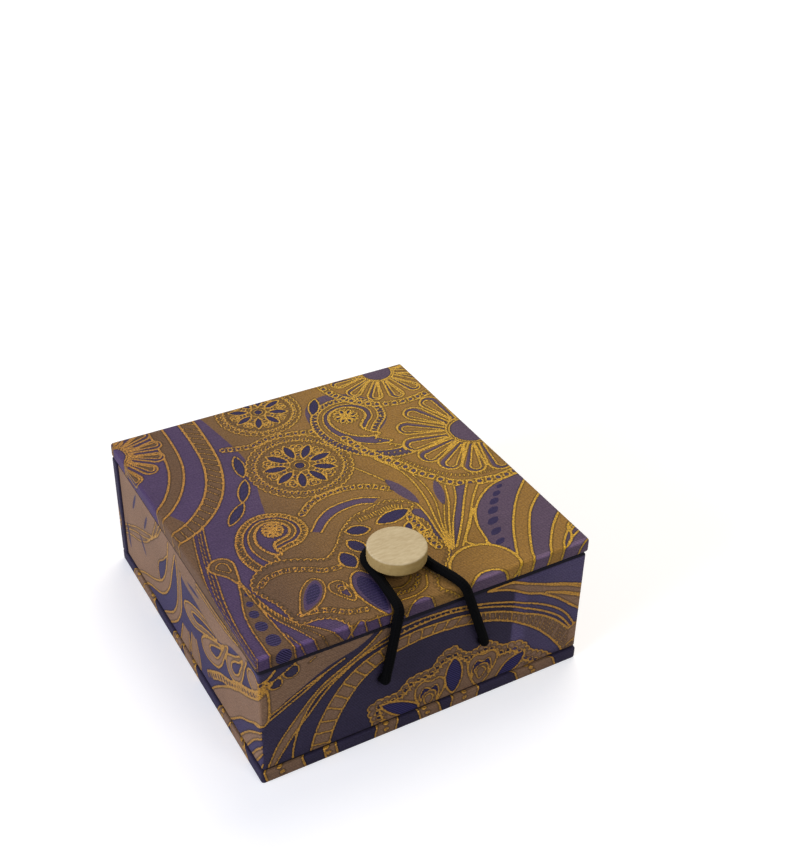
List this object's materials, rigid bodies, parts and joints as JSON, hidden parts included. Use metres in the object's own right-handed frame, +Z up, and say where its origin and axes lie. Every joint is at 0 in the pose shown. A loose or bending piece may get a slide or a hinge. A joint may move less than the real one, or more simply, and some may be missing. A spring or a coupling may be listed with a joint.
{
  "type": "brocade box",
  "caption": "Low book-style keepsake box of cloth-covered board with a cloth-hinged lid, a satin-lined tray, and a wooden button held by a black elastic loop.",
  "frame": {"origin": "centre of the case's underside, on the surface that the box stands on", "axes": "+X to the right along the front, +Y from the front to the hinged back, +Z up"},
  "size_m": [0.1, 0.1078, 0.0511],
  "materials": {
    "brocade": "woven silk brocade, purple and old gold",
    "greyboard": "pressed grey paperboard, matt",
    "wadding": "thin white felt",
    "card": "thin white card, matt",
    "foam": "soft open-cell foam",
    "satin": "smooth gold satin",
    "button_wood": "turned pale wood, unvarnished",
    "screw_steel": "zinc-plated wood screw",
    "elastic": "black braided elastic cord, matt"
  },
  "bodies": {
    "root": {"base_board": "greyboard", "base_brocade": "brocade", "spine_board": "greyboard", "spine_brocade": "brocade", "hinge_brocade": "brocade", "hinge_lining": "satin", "tray_front_board": "greyboard", "tray_back_board": "greyboard", "tray_left_board": "greyboard", "tray_right_board": "greyboard", "tray_floor_board": "greyboard", "tray_brocade": "brocade", "front_pad_card": "card", "front_pad_foam": "foam", "front_pad_satin": "satin", "back_pad_card": "card", "back_pad_foam": "foam", "back_pad_satin": "satin", "left_pad_card": "card", "left_pad_foam": "foam", "left_pad_satin": "satin", "right_pad_card": "card", "right_pad_foam": "foam", "right_pad_satin": "satin", "cushion_card": "card", "cushion_foam": "foam", "cushion_satin": "satin", "loop_knots": "elastic", "loop_tails": "elastic"},
    "lid": {"lid_board": "greyboard", "lid_wadding": "wadding", "lid_brocade": "brocade", "lid_pad_card": "card", "lid_pad_foam": "foam", "lid_pad_satin": "satin", "button_head": "button_wood", "button_neck": "button_wood", "button_screw": "screw_steel"},
    "loop_legs": {"loop_legs": "elastic"},
    "loop_bight": {"loop_bight": "elastic"}
  },
  "joints": [
    {"name": "lid_hinge", "type": "hinge", "parent": "root", "child": "lid", "pos_m": [0, 0.0525, 0.0394], "axis": [-1, 0, 0], "range_deg": [0, 175], "deforming": ["hinge_brocade", "hinge_lining"]},
    {"name": "loop_swing", "type": "hinge", "parent": "root", "child": "loop_legs", "pos_m": [0.002, -0.05405, 0.0241], "axis": [1, 0, 0], "range_deg": [0, 120], "deforming": ["loop_legs"]},
    {"name": "loop_straighten", "type": "hinge", "parent": "loop_legs", "child": "loop_bight", "pos_m": [-0.0005, -0.05405, 0.0427], "axis": [1, 0, 0], "range_deg": [0, 72], "deforming": ["loop_bight"]}
  ],
  "couplings": [
    {"joint": "loop_swing", "follows": "lid_hinge", "ratio": 0.68},
    {"joint": "loop_straighten", "follows": "lid_hinge", "ratio": 0.4}
  ]
}
